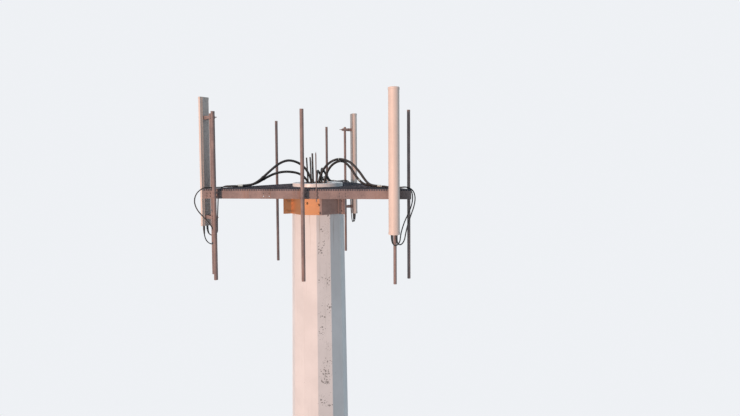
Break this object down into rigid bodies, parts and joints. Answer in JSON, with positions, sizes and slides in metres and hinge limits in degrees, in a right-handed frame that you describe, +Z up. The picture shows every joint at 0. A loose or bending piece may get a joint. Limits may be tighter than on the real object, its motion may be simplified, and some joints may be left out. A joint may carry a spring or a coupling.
{
  "type": "cell tower",
  "caption": "Tapered monopole cell tower with a triangular grated platform at its head, upright mounting pipes, panel antennas and thick feeder cables.",
  "frame": {"origin": "centre of the base flange's underside, on the pole's axis", "axes": "+Z up along the pole; the front face of the platform looks along -Y"},
  "size_m": [4.3248, 3.9105, 38.44],
  "materials": {
    "painted_pole": "off-white pole paint with mildew specks",
    "galvanised": "dull hot-dip galvanised steel",
    "grating": "galvanised bar grating",
    "cap_white": "white cap ring",
    "radome": "pale grey-white antenna radome",
    "antenna_back": "mill-finish aluminium",
    "cable_jacket": "black cable jacket",
    "connector": "plated connector"
  },
  "bodies": {
    "root": {"antenna_front_back": "antenna_back", "antenna_front_brackets": "galvanised", "antenna_front_radome": "radome", "antenna_left_back": "antenna_back", "antenna_left_brackets": "galvanised", "antenna_left_radome": "radome", "antenna_right_back": "antenna_back", "antenna_right_brackets": "galvanised", "antenna_right_radome": "radome", "arm_back": "galvanised", "arm_front_left": "galvanised", "arm_front_right": "galvanised", "base_flange": "galvanised", "beam_front": "galvanised", "beam_left": "galvanised", "beam_right": "galvanised", "cable_connectors": "connector", "cable_guide": "galvanised", "clamps_front": "galvanised", "clamps_left": "galvanised", "clamps_right": "galvanised", "collar_front": "galvanised", "collar_left": "galvanised", "collar_right": "galvanised", "collar_rods": "galvanised", "corner_plates": "galvanised", "entry_port_cover": "painted_pole", "entry_port_rim": "painted_pole", "feeder_back_lower": "cable_jacket", "feeder_back_upper": "cable_jacket", "feeder_left_lower": "cable_jacket", "feeder_left_upper": "cable_jacket", "feeder_right_lower": "cable_jacket", "feeder_right_upper": "cable_jacket", "grating_front": "grating", "grating_left": "grating", "grating_right": "grating", "jumper_back_one": "cable_jacket", "jumper_back_two": "cable_jacket", "jumper_left_one": "cable_jacket", "jumper_left_two": "cable_jacket", "jumper_right_one": "cable_jacket", "jumper_right_two": "cable_jacket", "pipes_front": "galvanised", "pipes_left": "galvanised", "pipes_right": "galvanised", "pole_base_front": "painted_pole", "pole_base_rear": "painted_pole", "pole_cap_ring": "cap_white", "pole_middle_front": "painted_pole", "pole_middle_rear": "painted_pole", "pole_top_front": "painted_pole", "pole_top_rear": "painted_pole", "spare_cable_ends": "cable_jacket"}
  },
  "joints": []
}
